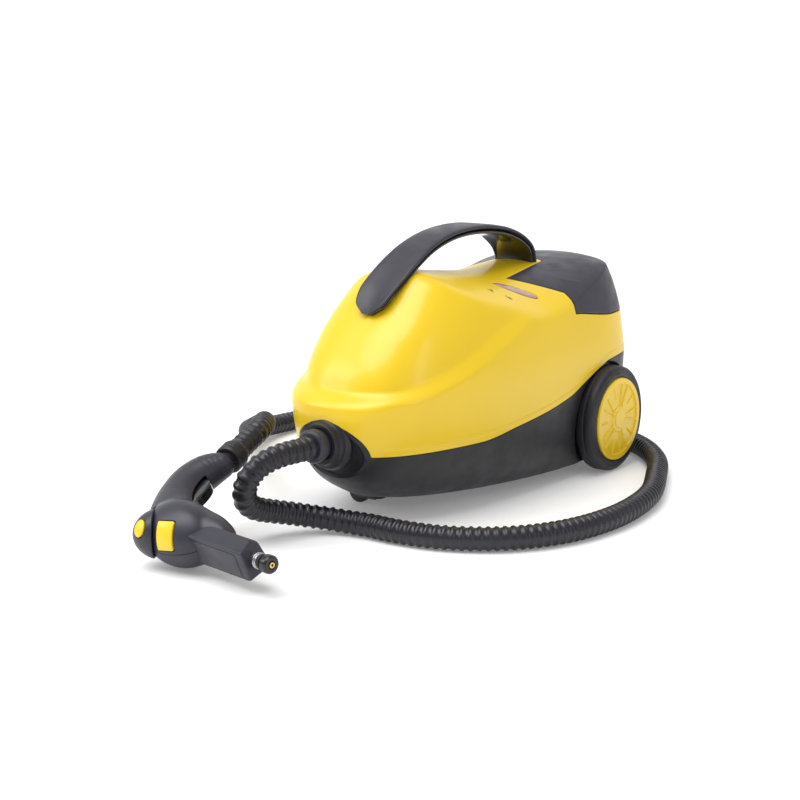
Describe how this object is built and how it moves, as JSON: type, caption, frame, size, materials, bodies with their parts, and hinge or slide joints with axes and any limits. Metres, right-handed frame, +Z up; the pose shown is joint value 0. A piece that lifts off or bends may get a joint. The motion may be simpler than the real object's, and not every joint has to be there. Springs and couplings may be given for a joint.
{
  "type": "steam cleaner",
  "caption": "Canister steam cleaner on two rear wheels and a front caster, with carry handle, hinged rear lid, inner boiler and a ribbed steam hose ending in a trigger gun.",
  "frame": {"origin": "middle of the underside of the machine and gun, on the floor, without the hose", "axes": "-Y the way the nose points, +X the machine's left-hand side as seen from the nose, +Z up"},
  "size_m": [0.5767, 0.7472, 0.2935],
  "materials": {
    "yellow_casing": "moulded, satin gloss",
    "black_base": "moulded, fine matt grain",
    "grey_lid": "moulded, satin",
    "gloss_black": "polished",
    "wheel_black": "matt tread",
    "hose_rubber": "ribbed cover, matt",
    "seal_rubber": "moulded silicone",
    "steel": "plain",
    "brass": "turned",
    "heater_alloy": "cast",
    "lens": "smoked pink-brown window",
    "nozzle_black": "moulded",
    "board_green": "coated board",
    "fuse_ceramic": "glazed"
  },
  "bodies": {
    "machine": {"base_tray": "black_base", "upper_shell": "yellow_casing", "lid_hinge_pin": "steel", "indicator_lens": "lens", "handle_grip": "grey_lid", "handle_underside": "gloss_black", "rear_axle": "steel", "axle_clip_right": "steel", "axle_clip_left": "steel", "boiler_front": "steel", "boiler_rear": "steel", "boiler_gasket": "seal_rubber", "boiler_heater": "heater_alloy", "boiler_saddle_front": "black_base", "boiler_saddle_rear": "black_base", "thermostat": "steel", "thermal_fuse": "fuse_ceramic", "safety_valve": "brass", "solenoid_valve": "brass", "steam_pipe": "brass", "control_board": "board_green", "filler_tray": "black_base", "filler_neck": "black_base", "filler_pipe": "seal_rubber", "switch_housing": "black_base", "cord_gland": "black_base", "base_screw_1": "steel", "base_screw_2": "steel", "base_screw_3": "steel", "base_screw_4": "steel", "hose_socket": "black_base", "hose_plug": "grey_lid", "gun_shell_lower": "grey_lid", "gun_shell_upper": "grey_lid", "gun_end_cap": "grey_lid", "trigger_pin": "steel", "gun_spout": "grey_lid", "nozzle_stem": "steel", "nozzle_oring": "seal_rubber", "nozzle_head": "nozzle_black", "nozzle_core": "brass", "gun_steam_tube": "brass", "hose_cuff": "grey_lid", "hose": "hose_rubber"},
    "wheel_right": {"wheel_right": "wheel_black", "hub_cap_right": "yellow_casing"},
    "wheel_left": {"wheel_left": "wheel_black", "hub_cap_left": "yellow_casing"},
    "caster": {"caster_fork": "grey_lid", "caster_pin": "steel", "caster_clip": "steel"},
    "caster_roller": {"caster_wheel": "wheel_black"},
    "lid": {"rear_lid": "grey_lid"},
    "filler_stopper": {"filler_seal": "seal_rubber"},
    "filler_grip": {"filler_cap": "black_base"},
    "rocker": {"switch_rocker": "gloss_black"},
    "trigger": {"gun_trigger": "gloss_black"},
    "steam_key": {"steam_button": "yellow_casing"},
    "lock_key": {"lock_button": "yellow_casing"}
  },
  "joints": [
    {"name": "wheel_right_spin", "type": "hinge", "parent": "machine", "child": "wheel_right", "pos_m": [0.116, 0.25315, 0.062], "axis": [1, 0, 0], "continuous": true},
    {"name": "wheel_left_spin", "type": "hinge", "parent": "machine", "child": "wheel_left", "pos_m": [-0.116, 0.25315, 0.062], "axis": [1, 0, 0], "continuous": true},
    {"name": "caster_swivel", "type": "hinge", "parent": "machine", "child": "caster", "pos_m": [-0.008, -0.03285, 0.03], "axis": [0, 0, 1], "continuous": true},
    {"name": "caster_roll", "type": "hinge", "parent": "caster", "child": "caster_roller", "pos_m": [-0.032, -0.03285, 0.0125], "axis": [0, 1, 0], "continuous": true},
    {"name": "lid_open", "type": "hinge", "parent": "machine", "child": "lid", "pos_m": [0, 0.34115, 0.18], "axis": [-1, 0, 0], "range_deg": [0, 85]},
    {"name": "stopper_lift", "type": "slide", "parent": "machine", "child": "filler_stopper", "axis": [0, 0, 1], "range_m": [0, 0.004]},
    {"name": "cap_turn", "type": "hinge", "parent": "filler_stopper", "child": "filler_grip", "pos_m": [0, 0.29315, 0.19], "axis": [0, 0, 1], "range_deg": [0, 180]},
    {"name": "switch_rock", "type": "hinge", "parent": "machine", "child": "rocker", "pos_m": [-0.038, 0.33665, 0.098], "axis": [1, 0, 0], "range_deg": [-6, 6]},
    {"name": "trigger_pull", "type": "hinge", "parent": "machine", "child": "trigger", "pos_m": [-0.06369, -0.27949, 0.04472], "axis": [-0.0665, -0.385, 0.9205], "range_deg": [0, 4], "stiffness_Nm_per_rad": 0.4, "springref_deg": -8.59},
    {"name": "steam_button_press", "type": "slide", "parent": "machine", "child": "steam_key", "axis": [-0.031, 0.9772, -0.2101], "range_m": [0, 0.0015], "stiffness_N_per_m": 600, "springref_m": -0.001},
    {"name": "lock_button_press", "type": "slide", "parent": "machine", "child": "lock_key", "axis": [0.1312, 0.9004, -0.4148], "range_m": [0, 0.0015], "stiffness_N_per_m": 600, "springref_m": -0.001}
  ],
  "couplings": [
    {"joint": "stopper_lift", "follows": "cap_turn", "m_per_rad": 0.0012732}
  ]
}
